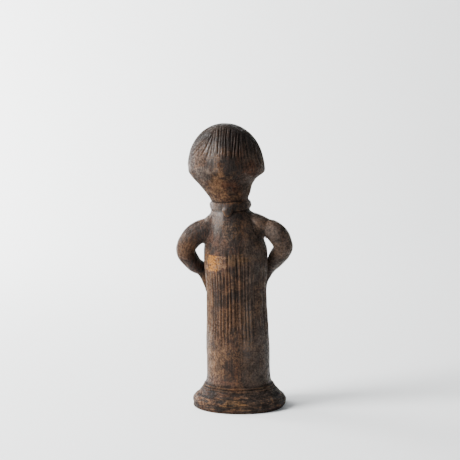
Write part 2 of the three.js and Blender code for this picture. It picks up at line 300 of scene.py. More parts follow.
def drawn_out(bm, grown, vec):
    """Shifts the vertices that an extrusion made."""
    moved = [item for item in grown["geom"] if isinstance(item, bmesh.types.BMVert)]
    bmesh.ops.translate(bm, verts=moved, vec=vec)


def read_points(bm):
    """Vertex places of a bmesh as an array."""
    return np.array([vert.co[:] for vert in bm.verts])


def write_points(bm, points):
    """Puts an array of places back on a bmesh."""
    for vert, place in zip(bm.verts, points):
        vert.co = place


def lumps(points, size, seed):
    """Smooth hand-made unevenness between -1 and 1 at each point."""
    shift = Vector((17.3 * seed, -9.1 * seed, 5.7 * seed))
    return np.array([noise.noise(Vector(point) / size + shift) for point in points])


def groove_field(across, z, strokes, width):
    """Depth from 0 to 1 of many straight strokes: each is (place, slope, top, bottom, strength)."""
    reach, soft_end = 6.0, 2.2
    depth = np.zeros_like(across)
    for place, slope, top, bottom, strength in strokes:
        near = np.abs(across - place) < reach
        line = across[near] - place - slope * (z[near] - (top + bottom) / 2)
        stroke = strength * bell(line, width) * window(z[near], bottom, top, soft_end)
        depth[near] = np.maximum(depth[near], stroke)
    return depth


def comb_strokes(rng, passes, half, pitch, top, reach):
    """Strokes of a hand-held comb with five teeth, drawn down in overlapping passes over -half to half."""
    strokes = []
    for k in range(passes):
        centre = half * ((k + 0.5) / passes - 0.5) * 2 + rng.uniform(-1.5, 1.5)
        high = rng.uniform(*top)
        low = high - rng.uniform(*reach)
        slope = rng.normal(0.0, 0.012)
        for tooth in range(-2, 3):
            place = centre + pitch * (tooth + rng.uniform(-0.16, 0.16))
            ends = rng.uniform(-4, 4, 2)
            strokes.append((place, slope, high + ends[0], low + ends[1], rng.uniform(0.45, 1.0)))
    return strokes


def robe_relief(turn, z, radius, sizes):
    """Depth in millimetres of the comb's grooves on the robe."""
    rng = np.random.default_rng(11)
    pitch = mm(sizes.comb_pitch)
    mean_radius = 23.0
    half = math.pi * mean_radius
    strokes = comb_strokes(rng, 15, half, pitch, (106, 122), (36, 56))
    strokes += comb_strokes(rng, 13, half, pitch, (82, 102), (26, 48))
    depth = groove_field(turn * mean_radius, z, strokes, 0.55)
    flaked = window(turn, math.radians(12), math.radians(66), 0.05) * window(z, 107.0, 124.0, 1.0)
    robe = window(z, 44.0, 133.0, 6.0) * window(radius, 14.0, 30.0, 0.5)
    return mm(sizes.comb_depth) * depth * (1 - 0.9 * flaked) * robe


def hair_relief(points, turn, sizes):
    """Depth in millimetres of the comb's grooves on the hair."""
    x, y, z = points.T
    rng = np.random.default_rng(5)
    pitch = mm(sizes.hair_pitch)
    top = 216.0
    back_count, side_count, side_radius = 26, 52, 26.0
    back = []
    for k in range(back_count):
        place = (k - (back_count - 1) / 2) * pitch + rng.uniform(-0.6, 0.6)
        low = 196.5 - 6.0 * float(ramp(abs(place), 4.0, 20.0)) + rng.uniform(-4.5, 4.5)
        fan = 0.25 * float(ramp(-place, 8.0, 22.0)) - 0.95 * float(ramp(place, 5.0, 19.0))
        slope = rng.normal(0, 0.04) + fan
        back.append((place, slope, top + rng.uniform(-5, 3), low, rng.uniform(0.3, 1.0)))
    side = []
    for k in range(side_count):
        place = (k - (side_count - 1) / 2) * math.pi / (side_count / 2) * side_radius
        place += rng.uniform(-0.4, 0.4)
        low = 190.0 + rng.uniform(-3.0, 6.0)
        side.append((place, 0.0, top + rng.uniform(-4, 2), low, rng.uniform(0.5, 1.0)))
    behind = ramp(y, 6.0, 12.0)
    wander = x + 0.35 * lumps(points, 7.0, 51)
    depth = groove_field(wander, z, back, 0.44) * behind
    depth = np.maximum(depth, groove_field(turn * side_radius, z, side, 0.55) * (1 - behind))
    return mm(sizes.hair_depth) * depth * ramp(z, 184.0, 190.0)


def crease(turn, z, start, end, width, radius):
    """Depth from 0 to 1 of a line creased between two places, each given as turn in degrees and height."""
    a = np.array([math.radians(start[0]) * radius, start[1]])
    b = np.array([math.radians(end[0]) * radius, end[1]])
    along = b - a
    places = np.stack([turn * radius, z], axis=1) - a
    share = np.clip(places @ along / (along @ along), 0, 1)
    away = np.hypot(*(places - share[:, None] * along).T)
    return bell(away, width) * (0.35 + 0.65 * np.sin(math.pi * np.clip(share, 0.08, 0.92)))


def face_depth(x, z):
    """How far the front of the head is set back: the face behind the fringe, with brow, cheeks and chin."""
    half_width, half_height, face_z = 19.5, 19.0, NECK_Z + 22.0
    across, up = x / half_width, (z - face_z) / half_height
    ring = np.hypot(across, up)
    inside = 1 - ramp(ring, 0.93, 1.03)
    inset = 2.6 + 1.6 * ring**2
    brow = 0.9 * bell((z - (NECK_Z + 30.0)) + 0.012 * x**2, 2.2) * bell(across, 0.75)
    cheek = 0.7 * bell(np.hypot(np.abs(x) - 9.0, z - (NECK_Z + 17.5)), 6.0)
    socket = 0.7 * bell(np.hypot((np.abs(x) - EYE_ASIDE) / 1.5, z - EYE_Z), 3.0)
    lips = 0.55 * bell(np.hypot(x / 1.9, z - MOUTH_Z), 2.6)
    chin = 0.6 * bell(np.hypot(x / 1.3, z - (NECK_Z + 5.6)), 3.0)
    return inside * (inset - brow - cheek - lips - chin + socket)


def pressed_by_hand(points, turn, raised):
    """How far the skin stands out where hands swelled it, pinched it, creased it or flattened it."""
    z = points[:, 2]
    swellings = (
        ("nape", 2.7, 175.5, 6.5, 85, 0.8),
        ("point of the bob", 0.9, 184.0, 3.0, -98, 0.45),
        ("under the point", -1.1, 178.5, 2.6, -100, 0.5),
    )
    unevenness = ((0.32, 17.0, 1), (0.16, 6.5, 2), (0.05, 2.2, 3))
    push = raised * sum(depth * lumps(points, size, seed) for depth, size, seed in unevenness)
    for _, rise, height, half_height, angle, half_turn in swellings:
        push += rise * bell(z - height, half_height) * bell(turn - math.radians(angle), half_turn)
    full_side = bell(turn + math.radians(92), 0.8)
    push += (0.95 - 1.2 * window(z, 130.0, 158.0, 6.0)) * raised * full_side
    push -= 0.7 * raised * window(z, -5.0, 15.0, 3.0) * bell(turn - math.radians(90), 0.8)
    push -= 0.8 * crease(turn, z, (-48, 186.5), (-30, 178.5), 0.9, 24.0)
    return push - 0.45 * crease(turn, z, (-8, 181.0), (18, 178.0), 1.1, 22.0)


def worn_away(points, turn):
    """Depth of the line round the nape, the flaked patch, small pits, and the foot's chips and tool marks."""
    x, y, z = points.T
    nape_line = 159.4 + 0.24 * np.clip(1.0 - x, 0, None)
    depth = 0.7 * bell(z - nape_line, 0.6) * ramp(y, -4.0, 3.0)
    depth += 0.35 * window(turn, math.radians(15), math.radians(55), 0.03) * window(z, 108.5, 119.8, 0.35)
    depth += 0.8 * window(z, 1.0, 14.0, 1.5) * np.clip(lumps(points, 5.0, 7) - 0.25, 0, 0.3)
    turned = points * (0.12, 0.12, 1.0)
    depth -= window(z, 1.0, 18.4, 0.8) * (0.3 * lumps(turned, 2.3, 12) + 0.16 * lumps(turned, 0.9, 13))
    pits = np.clip(lumps(points, 2.6, 15) - 0.3, 0, 1) * ramp(-x, -2.0, 3.0)
    return depth + 0.5 * window(z, 134.0, 156.0, 3.0) * pits


def shape_skin(bm, sizes):
    """Turns the plain spun skin into the leaning, combed and hand-worked figure."""
    points = read_points(bm)
    x, y, z = points.T
    radius = np.hypot(x, y)
    turn = np.arctan2(x, y)
    out = np.stack([x, y, np.zeros_like(x)], axis=1) / np.maximum(radius, 1e-6)[:, None]
    raised = ramp(z, 0.5, 3.0) * ramp(radius, 1.0, 6.0)
    push = pressed_by_hand(points, turn, raised) - worn_away(points, turn)
    push -= robe_relief(turn, z, radius, sizes)
    points = points + out * push[:, None]
    points[:, 2] += 0.25 * raised * lumps(points, 12.0, 9) * (1 - ramp(z, 200.0, 214.0))

    # The hair's combing is cut in the true place, after the head is pressed to its depth
    squeeze = mm(sizes.head_depth) / mm(sizes.head_width)
    robe = 1 + (sizes.robe_depth - 1) * ramp(z, FOOT_TOP, WAIST_Z)
    points[:, 1] *= robe + (squeeze - robe) * ramp(z, NECK_Z, BOB_Z)
    dome = ((z - WIDEST_Z) / (CROWN_Z - WIDEST_Z)).clip(0, 1)
    slant = np.sqrt(1 - dome**2)
    cut = hair_relief(points, turn, sizes) * ramp(z, BOB_Z - 4, BOB_Z)
    points -= out * (cut * np.maximum(slant, 0.25))[:, None]
    points[:, 2] -= cut * dome

    # The face is pressed back behind the fringe
    front = ramp(-points[:, 1], 6.0, 10.0) * ramp(z, NECK_Z + 1.0, NECK_Z + 4.0)
    points[:, 1] += front * face_depth(x, z)
    points[:, 0] += lean(z)
    write_points(bm, points)


def skin_mesh(sizes):
    """The outer skin from the flat underside to the crown."""
    edge = np.vstack([foot_edge(sizes), robe_edge(sizes), head_edge(sizes)])
    rows = respaced(edge)
    rows[-1, 0] = 0.0
    radius = rows[0, 0]
    underside = [(0.0, 0.0), (0.35 * radius, 0.0), (0.75 * radius, 0.0)]
    bm = spun([*underside, *rows], sizes.steps)
    shape_skin(bm, sizes)
    return bm


def hollow_mesh(sizes):
    """The hollow from the open underside up through the neck into the head."""
    wall = mm(sizes.wall)
    edge = robe_edge(sizes)
    above_hem, under_shoulder, stride = 8, -28, 6
    inner = [(radius - wall, z) for radius, z in edge[above_hem:under_shoulder:stride]]
    bore = mm(sizes.neck_radius) - wall
    half = mm(sizes.head_width) / 2 - wall
    mouth = mm(sizes.hem_radius) - wall
    dome = [
        (half * math.cos(turn), WIDEST_Z + (CROWN_Z - wall - WIDEST_Z) * math.sin(turn))
        for turn in np.linspace(0, math.pi / 2, 12)
    ]
    dome[-1] = (0.0, CROWN_Z - wall)
    profile = [
        (0.0, -2.0),
        (mouth + 2.0, -2.0),
        (mouth + 2.0, 0.4),
        (mouth + 0.6, 3.0),
        (mouth, 9.0),
        *inner,
        (bore, NECK_Z - 4),
        (bore, NECK_Z + 5),
        (bore + 0.4 * (half - bore), NECK_Z + 15.8),
        (half - 2.0, BOB_Z + 1),
        *dome,
    ]
    bm = spun(profile, 72)
    points = read_points(bm)
    z = points[:, 2]
    squeeze = (mm(sizes.head_depth) / 2 - wall) / half
    points[:, 1] *= sizes.robe_depth + (squeeze - sizes.robe_depth) * ramp(z, NECK_Z, BOB_Z)
    points[:, 0] += 0.25 * lumps(points, 9.0, 21)
    points[:, 0] += lean(z)
    write_points(bm, points)
    return bm


def almond_cutter(width, height, x, z):
    """An almond-shaped bar along Y that cuts an eye or the mouth through the face."""
    bm = bmesh.new()
    count = 12
    rim = []
    for side in (-1, 1):
        for share in np.arange(count) / count:
            bulge = side * height * 2 * share * (1 - share)
            rim.append(bm.verts.new((side * width * (share - 0.5), 0, bulge)))
    bm.faces.new(rim)
    behind_face, bar = -9, 40
    drawn_out(bm, bmesh.ops.extrude_face_region(bm, geom=bm.faces[:]), (0, -bar, 0))
    whole_moved(bm, (x, behind_face, z))
    bmesh.ops.recalc_face_normals(bm, faces=bm.faces)
    return bm


def nose_mesh(middle, front):
    """A straight wedge of a nose, wider and fuller at the tip."""
    bm = bmesh.new()
    bmesh.ops.create_cone(bm, cap_ends=True, segments=20, radius1=3.3, radius2=1.1, depth=14.5)
    bmesh.ops.bevel(
        bm,
        geom=[edge for edge in bm.edges if abs(edge.verts[0].co.z - edge.verts[1].co.z) < 1e-4],
        offset=0.9,
        offset_type="OFFSET",
        segments=3,
        profile=0.5,
        affect="EDGES",
        material=-1,
    )
    whole_moved(bm, (middle, front + 4.1, NECK_Z + 21.5), (1.0, 1.25, 1.0), (-0.16, "X"))
    bmesh.ops.recalc_face_normals(bm, faces=bm.faces)
    return bm


def collar_mesh(sizes):
    """A roll of clay round the neck that is pressed into a flat band at the nape."""
    roll, pressed = 2.9, 0.68
    ring = mm(sizes.neck_radius) + 2.6 - roll
    bm = bmesh.new()
    bmesh.ops.create_circle(bm, segments=20, radius=roll)
    whole_moved(bm, (ring, 0, 0), turn=(math.pi / 2, "X"))
    bmesh.ops.spin(
        bm, geom=bm.verts[:] + bm.edges[:], axis=(0, 0, 1), angle=2 * math.pi, steps=120, use_merge=True
    )
    bmesh.ops.remove_doubles(bm, verts=bm.verts, dist=1e-4)
    bmesh.ops.recalc_face_normals(bm, faces=bm.faces)
    points = read_points(bm)
    x, y, z = points.T
    back = ramp(y / ring, -0.2, 0.7)
    away = np.hypot(x, y)
    trim = 1 - pressed * back * np.clip(away - ring, 0, None) / away
    points[:, 0] *= trim
    points[:, 1] = y * trim - 2.4 * (1 - back)
    points[:, 2] = z * 1.25 + SHOULDER_Z + 6.6 - 0.08 * points[:, 0]
    uneven = [lumps(points, size, seed) for size, seed in ((5.0, 31), (5.0, 32), (7.0, 33))]
    points += 0.35 * np.stack(uneven, axis=1)
    points[:, 0] += lean(points[:, 2])
    write_points(bm, points)
    return bm


def tab_mesh(sizes):
    """A small lobe of clay pressed on under the collar at the nape."""
    bm = bmesh.new()
    bmesh.ops.create_uvsphere(bm, u_segments=28, v_segments=16, radius=1.0)
    bmesh.ops.scale(bm, verts=bm.verts, vec=(4.2, 1.7, 4.9))
    points = read_points(bm)
    points[:, 0] *= 1 + 0.05 * points[:, 2]
    write_points(bm, points + 0.5 * np.stack([lumps(points, 3.5, seed) for seed in (35, 36, 37)], axis=1))
    back = mm(sizes.shoulder_radius) * sizes.robe_depth
    whole_moved(bm, (float(lean(SHOULDER_Z)) + 1.7, back - 1.6, SHOULDER_Z + 3.9), turn=(0.42, "X"))
    return bm


def web_mesh(place, half_sizes, tilt):
    """A flattened lump of clay that is pressed into the angle between the neck and an arm."""
    bm = bmesh.new()
    bmesh.ops.create_uvsphere(bm, u_segments=36, v_segments=24, radius=1.0)
    whole_moved(bm, place, half_sizes, (tilt, "Y"))
    return bm


def arm_route(side, lift, swing, sizes):
    """Points of one arm's middle line, its widths and its flatness, from the shoulder to the fingertips."""
    edge = robe_edge(sizes)

    def on_robe(angle, z, proud):
        radius = float(np.interp(z, edge[:, 1], edge[:, 0])) + proud
        across = float(lean(z)) + side * radius * math.cos(angle)
        return across, -radius * sizes.robe_depth * math.sin(angle), z

    elbow_z = CHEST_Z + lift
    hand_z = WAIST_Z + 9.0
    palm = mm(sizes.hand_thickness) / 2 - 0.8
    elbow_x = side * (mm(sizes.elbow_reach) - mm(sizes.elbow_radius))
    inward = 0.06 * lift
    points = [
        on_robe(-0.3 * swing, SHOULDER_Z - 11.5 + 0.3 * lift, -8.0),
        (elbow_x - side * (8.6 - 0.3 * lift), 20 * swing, elbow_z + 12 + 0.35 * lift),
        (elbow_x + side * 0.15 * lift, 4 * swing, elbow_z),
        (elbow_x - side * 5, -6, elbow_z - 12 + 0.24 * lift),
        on_robe(0.42 + inward, hand_z + 7, mm(sizes.wrist_radius)),
        on_robe(0.54 + inward, hand_z - 2, palm + 0.2),
        on_robe(0.66 + 0.5 * inward, hand_z - 11, palm),
    ]
    return smooth_curve(points, 24)


def arm_widths(share, sizes):
    """Half width and half thickness along an arm, where share runs from 0 at the root to 1."""
    hand, thick = mm(sizes.hand_width) / 2, mm(sizes.hand_thickness) / 2
    upper, elbow, wrist = mm(sizes.arm_radius), mm(sizes.elbow_radius), mm(sizes.wrist_radius)
    root = [(0.0, 2.5), (0.02, 6.0), (0.06, upper + 0.9), (0.12, upper + 1.2)]
    coil = [(0.3, upper + 0.1), (0.5, elbow), (0.72, wrist)]
    palm = [(0.85, hand, thick + 0.1), (0.95, hand - 0.5, thick - 0.2)]
    tips = [(0.985, hand - 1.8, thick - 0.9), (1.0, hand - 4.5, thick - 2.2)]
    at, wide, deep = np.array([(place, radius, radius) for place, radius in root + coil] + palm + tips).T
    return np.interp(share, at, wide), np.interp(share, at, deep)


def arm_mesh(side, lift, swing, sizes, seed):
    """One rolled arm with its flat hand, finger grooves and lengthwise scratches, deeper on the +X arm."""
    rings, around = 88, 96
    bm = bmesh.new()
    bmesh.ops.create_cone(bm, cap_ends=True, segments=around, radius1=1.0, radius2=1.0, depth=rings)
    whole_moved(bm, (0, 0, rings / 2))
    upright = [edge for edge in bm.edges if abs(edge.verts[0].co.z - edge.verts[1].co.z) > 0.5]
    bmesh.ops.subdivide_edges(bm, edges=upright, cuts=rings - 1)

    line = arm_route(side, lift, swing, sizes)
    travelled = np.concatenate([[0], np.cumsum(np.linalg.norm(np.diff(line, axis=0), axis=1))])
    # Rings stand closer together toward the fingertips
    left_over = 1 - np.linspace(0, 1, rings + 1)
    closer = 0.45
    share = 1 - left_over * (1 - closer + closer * left_over)
    middle = np.stack([np.interp(share * travelled[-1], travelled, line[:, i]) for i in range(3)], axis=1)
    middle[1:-1] = (middle[:-2] + 2 * middle[1:-1] + middle[2:]) / 4
    tangent = np.gradient(middle, axis=0)
    tangent /= np.linalg.norm(tangent, axis=1)[:, None]
    away = np.stack([middle[:, 0] - lean(middle[:, 2]), middle[:, 1], np.zeros(rings + 1)], axis=1)
    away -= (away * tangent).sum(axis=1)[:, None] * tangent
    away /= np.linalg.norm(away, axis=1)[:, None]
    across = np.cross(tangent, away)
    wide, deep = arm_widths(share, sizes)

    points = read_points(bm)
    step = np.rint(points[:, 2]).astype(int)
    turn = np.arctan2(points[:, 1], points[:, 0])
    outward, sideways = np.cos(turn), np.sin(turn)
    cut = finger_cut(share[step], outward, sideways)
    size_out = deep[step] - cut
    placed = middle[step]
    placed = placed + (outward * size_out)[:, None] * away[step]
    placed = placed + (sideways * wide[step])[:, None] * across[step]
    normal = outward[:, None] * away[step] + sideways[:, None] * across[step]
    uneven = 0.3 * lumps(placed, 9.0, seed) + 0.14 * lumps(placed, 3.6, seed + 1)
    shallow = 0.45
    uneven -= scratch_cut(turn, share[step], seed) * (1.0 if side > 0 else shallow)
    placed = placed + normal * (uneven * (1 - ramp(share[step], 0.97, 1.0)))[:, None]
    write_points(bm, placed)
    bmesh.ops.recalc_face_normals(bm, faces=bm.faces)
    return bm


def finger_cut(share, outward, sideways):
    """Depth of the grooves between four fingers on the back of the hand."""
    depth = np.zeros_like(share)
    for place in (-0.46, 0.0, 0.46):
        depth += 0.9 * bell(sideways - place, 0.085)
    return depth * ramp(share, 0.885, 0.915) * ramp(outward, 0.0, 0.35)


def scratch_cut(turn, share, seed):
    """Depth of the fine lengthwise scratches on the upper arm."""
    count, deepest, width = 34, 0.6, 0.065
    rng = np.random.default_rng(seed)
    depth = np.zeros_like(turn)
    for place in np.linspace(-math.pi, math.pi, count + 1)[1:]:
        place = place + rng.uniform(-0.04, 0.04)
        start = rng.uniform(0.1, 0.3)
        end = start + rng.uniform(0.12, 0.3)
        away = np.abs(np.angle(np.exp(1j * (turn - place - 0.5 * (share - start)))))
        scratch = deepest * rng.uniform(0.4, 1) * bell(away, width)
        depth = np.maximum(depth, scratch * window(share, start, end, 0.02))
    return depth


def thumb_mesh(side, lift, swing, sizes):
    """A short thumb that lies along the inner edge of the hand."""
    palm_point, tip_point = -34, -16
    line = arm_route(side, lift, swing, sizes)
    palm, tip = Vector(line[palm_point]), Vector(line[tip_point])
    bm = bmesh.new()
    bmesh.ops.create_uvsphere(bm, u_segments=16, v_segments=12, radius=1.0)
    bmesh.ops.scale(bm, verts=bm.verts, vec=(2.1, 1.9, 5.2))
    direction = (tip - palm).normalized()
    turn = Vector((0, 0, -1)).rotation_difference(direction).to_matrix()
    bmesh.ops.rotate(bm, verts=bm.verts, matrix=turn)
    inward = Vector((-side * 5.6, -2.8, 1.0))
    bmesh.ops.translate(bm, verts=bm.verts, vec=(palm + tip) / 2 + inward)
    return bm


def as_object(bm, name, clays, clay=0):
    """A bmesh in millimetres as an object in metres at the origin, with one of the two clays on its faces."""
    bmesh.ops.scale(bm, verts=bm.verts, vec=(MM, MM, MM))
    for face in bm.faces:
        face.material_index = clay
        face.smooth = True
    mesh = bpy.data.meshes.new(name)
    bm.to_mesh(mesh)
    bm.free()
    for material in clays:
        mesh.materials.append(material)
    made = bpy.data.objects.new(name, mesh)
    bpy.context.scene.collection.objects.link(made)
    return made


def join_solids(body, others):
    """Adds or cuts each (operation, object) in turn, and removes the tools."""
    for operation, other in others:
        modifier = body.modifiers.new(operation.lower(), "BOOLEAN")
        modifier.operation = operation
        modifier.solver = "MANIFOLD"
        modifier.object = other
    graph = bpy.context.evaluated_depsgraph_get()
    mesh = bpy.data.meshes.new_from_object(body.evaluated_get(graph))
    body.modifiers.clear()
    old = body.data
    body.data = mesh
    bpy.data.meshes.remove(old)
    for _, other in others:
        tool = other.data
        bpy.data.objects.remove(other)
        bpy.data.meshes.remove(tool)
    fewest = 1000
    if len(mesh.vertices) < fewest:
        raise RuntimeError("the clay pieces did not join")


def mesh_arrays(mesh):
    """Vertex places, normals and edge pairs of a mesh, in millimetres."""
    count = len(mesh.vertices)
    points = np.empty(count * 3)
    mesh.vertices.foreach_get("co", points)
    normals = np.empty(count * 3)
    mesh.vertices.foreach_get("normal", normals)
    pairs = np.empty(len(mesh.edges) * 2, dtype=np.int64)
    mesh.edges.foreach_get("vertices", pairs)
    return points.reshape(-1, 3) / MM, normals.reshape(-1, 3), pairs.reshape(-1, 2)


def spread(values, pairs, times):
    """Averages a value over neighbouring vertices a number of times."""
    count = len(values)
    share = np.bincount(pairs.ravel(), minlength=count).clip(1)
    for _ in range(times):
        total = np.bincount(pairs[:, 0], weights=values[pairs[:, 1]], minlength=count)
        total += np.bincount(pairs[:, 1], weights=values[pairs[:, 0]], minlength=count)
        values = 0.5 * values + 0.5 * total / share
    return values


def bend(points, normals, pairs):
    """Signed bend of the surface at each vertex: over 0 in a hollow, under 0 on a ridge, per millimetre."""
    count = len(points)
    step = points[pairs[:, 1]] - points[pairs[:, 0]]
    span = (step**2).sum(axis=1).clip(1e-4)
    first = 2 * (step * normals[pairs[:, 0]]).sum(axis=1) / span
    second = -2 * (step * normals[pairs[:, 1]]).sum(axis=1) / span
    weight = np.bincount(pairs.ravel(), minlength=count).clip(1)
    total = np.bincount(pairs[:, 0], weights=first, minlength=count)
    total += np.bincount(pairs[:, 1], weights=second, minlength=count)
    return total / weight


def store(mesh, name, values):
    """Keeps one number for each vertex, which the clay's material reads."""
    attribute = mesh.attributes.new(name, "FLOAT", "POINT")
    attribute.data.foreach_set("value", np.clip(values, 0, 1).astype(np.float32))


def mark_wear(mesh):
    """Stores how hollow the surface is, for painted shade and dullness in the hollows, and how ridged, for
    ridges rubbed pale and partly painted as highlight.
    """
    points, normals, pairs = mesh_arrays(mesh)
    bent = np.clip(bend(points, normals, pairs), -3, 3)
    fine = spread(bent, pairs, 2)
    broad = spread(bent, pairs, 10)
    store(mesh, "hollow", 0.55 * np.clip(fine, 0, 2) + 1.6 * np.clip(broad, 0, 1))
    store(mesh, "ridge", 0.6 * np.clip(-fine - 0.1, 0, 2) + 0.8 * np.clip(-broad - 0.12, 0, 1))


def seam_zones():
    """Where clay is pressed on clay, in metres: place, reach, least angle of a seam, rounds of softening."""
    nose = Vector((float(lean(WIDEST_Z)) * MM, -0.022, 0.181))
    collar, hands = Vector((0.003, 0.003, 0.156)), Vector((0.0, -0.020, 0.097))
    shoulder, other_shoulder = Vector((0.022, 0.0, 0.139)), Vector((-0.021, 0.004, 0.141))
    return (
        (nose, 0.019, 0.7, 3),
        (collar, 0.0185, 0.55, 7),
        (shoulder, 0.016, 0.6, 50),
        (other_shoulder, 0.018, 0.42, 80),
        (hands, 0.032, 0.7, 5),
    )


def soften_seams(mesh, zones):
    """Blends the seams where clay was pressed on clay, and fills them more than it wears the ridges down."""
    bm = bmesh.new()
    bm.from_mesh(mesh)
    bmesh.ops.remove_doubles(bm, verts=bm.verts, dist=0.02 * MM)
    bm.verts.index_update()
    seam = np.zeros((len(zones), len(bm.verts)))
    gentlest = min(least for _, _, least, _ in zones)
    for edge in bm.edges:
        angle = edge.calc_face_angle(0) if len(edge.link_faces) == 2 else 0
        if angle > gentlest:
            middle = (edge.verts[0].co + edge.verts[1].co) / 2
            for k, (place, reach, least, _) in enumerate(zones):
                if (middle - place).length < reach and angle > least:
                    seam[k, [vert.index for vert in edge.verts]] = 1.0
                    break
    pairs = np.array([[vert.index for vert in edge.verts] for edge in bm.edges])
    bm.normal_update()
    normals = np.array([vert.normal[:] for vert in bm.verts])
    before = read_points(bm)
    points = before.copy()
    untouched, filled = 0.001, 0.85
    for k, (_, _, _, times) in enumerate(zones):
        share = np.clip(2.0 * spread(seam[k], pairs, times), 0, 1)
        share = np.where(share > untouched, share, 0.0)
        near = pairs[share[pairs].max(axis=1) > 0]
        for _ in range(times):
            calm = np.stack([spread(points[:, i], near, 1) for i in range(3)], axis=1)
            points += share[:, None] * (calm - points)
    sunk = np.clip(((points - before) * normals).sum(axis=1), None, 0)
    write_points(bm, points - filled * sunk[:, None] * normals)
    bm.to_mesh(mesh)
    bm.free()


class NodeSketch:
    """Short calls that place shader nodes from left to right and join them."""

    def __init__(self, tree):
        self.tree = tree
        self.count = 0

    def put(self, kind, settings=None, **inputs):
        """Adds a node, sets its own settings, and sets or links its inputs by name or number."""
        node = self.tree.nodes.new(kind)
        node.location = (220 * (self.count % 9), -260 * (self.count // 9))
        self.count += 1
        for name, value in (settings or {}).items():
            setattr(node, name, value)
        for name, value in inputs.items():
            by_number = name[0] == "i" and name[1:].isdigit()
            self.feed(node.inputs[int(name[1:]) if by_number else name], value)
        return node

    def feed(self, socket, value):
        """Links an output to a socket, or sets its value."""
        if isinstance(value, bpy.types.NodeSocket):
            self.tree.links.new(value, socket)
        else:
            socket.default_value = value

    def maths(self, operation, first, second=0.0, third=0.0, clamp=False):
        """One Math node's value."""
        settings = {"operation": operation, "use_clamp": clamp}
        return self.put("ShaderNodeMath", settings, i0=first, i1=second, i2=third).outputs[0]

    def band(self, value, low, high, to_low=0.0, to_high=1.0):
        """A value carried smoothly from one range to another."""
        node = self.put("ShaderNodeMapRange", {"interpolation_type": "SMOOTHSTEP"}, Value=value)
        for name, number in (("From Min", low), ("From Max", high), ("To Min", to_low), ("To Max", to_high)):
            node.inputs[name].default_value = number
        return node.outputs["Result"]

    def blend(self, share, first, second):
        """Two colours mixed by a share."""
        node = self.put("ShaderNodeMix", {"data_type": "RGBA"})
        self.feed(node.inputs[0], share)
        self.feed(node.inputs[6], first)
        self.feed(node.inputs[7], second)
        return node.outputs[2]

    def grain(self, place, scale, detail=3.0, roughness=0.55, distortion=0.0):
        """A noise value at a scale in repeats for each metre."""
        node = self.put("ShaderNodeTexNoise", None, Vector=place, Scale=scale, Detail=detail)
        node.inputs["Roughness"].default_value = roughness
        node.inputs["Distortion"].default_value = distortion
        return node.outputs["Fac"]

    def wear(self, name):
        """A value stored on the mesh."""
        return self.put("ShaderNodeAttribute", {"attribute_name": name}).outputs["Fac"]

    def times(self, first, second, clamp=False):
        """Two values multiplied."""
        return self.maths("MULTIPLY", first, second, clamp=clamp)

    def tint(self, tone, colour, share):
        """A tone with a share of one of the colour settings over it."""
        return self.blend(share, tone, opaque(colour))

    def relief(self, height, strength, distance):
        """The normal of a surface roughened by a height."""
        inputs = {"Height": height, "Strength": strength, "Distance": distance}
        return self.put("ShaderNodeBump", None, **inputs).outputs[0]

    def surface(self, values):
        """The surface shader with its values, joined to the material's output."""
        shader = self.put("ShaderNodeBsdfPrincipled", None, **values)
        self.put("ShaderNodeOutputMaterial", None, Surface=shader.outputs[0])


def opaque(values):
    """A colour setting with full alpha."""
    return (*values, 1.0)


def new_group(name, given, made):
    """An empty shader node group with the named inputs and outputs, and a sketch of it."""
    tree = bpy.data.node_groups.new(name, "ShaderNodeTree")
    for way, sockets in (("INPUT", given), ("OUTPUT", made)):
        for socket, kind in sockets.items():
            tree.interface.new_socket(socket, in_out=way, socket_type=kind)
    sketch = NodeSketch(tree)
    return tree, sketch, sketch.put("NodeGroupInput").outputs, sketch.put("NodeGroupOutput").inputs


def new_material(name):
    """A material with no nodes yet, a sketch of it, and the place on the object."""
    material = bpy.data.materials.new(name)
    material.use_nodes = True
    material.node_tree.nodes.clear()
    sketch = NodeSketch(material.node_tree)
    return material, sketch, sketch.put("ShaderNodeTexCoord").outputs["Object"]


def clouds_group():
    """Shared shader group: smoke clouds, mottles, grit and drawn-out streaks of fired clay."""
    masks = dict.fromkeys(("Clouds", "Mottles", "Specks", "Grit", "Streaks", "Bands"), "NodeSocketFloat")
    tree, sketch, given, ends = new_group(
        "FiredClouds", {"Place": "NodeSocketVector", "Cloud size": "NodeSocketFloat"}, masks
    )
    place = given["Place"]
    upright = sketch.put("ShaderNodeMapping", None, Vector=place, Scale=(1.0, 1.0, 0.07)).outputs[0]
    level = sketch.put("ShaderNodeMapping", None, Vector=place, Scale=(0.14, 0.14, 1.0)).outputs[0]
    for name, where, scale, detail, roughness, distortion, low, high in (
        ("Clouds", place, given["Cloud size"], 5.0, 0.62, 0.6, 0.38, 0.62),
        ("Mottles", place, 170.0, 6.0, 0.75, 0.0, 0.42, 0.58),
        ("Specks", place, 760.0, 3.0, 0.7, 0.0, 0.4, 0.62),
        ("Streaks", upright, 620.0, 4.0, 0.65, 0.25, 0.4, 0.62),
        ("Bands", level, 700.0, 4.0, 0.65, 0.3, 0.4, 0.62),
    ):
        grains = sketch.grain(where, scale, detail, roughness, distortion)
        sketch.feed(ends[name], sketch.band(grains, low, high))
    sketch.feed(ends["Grit"], sketch.grain(place, 2400.0, 3.0, 0.65))
    return tree


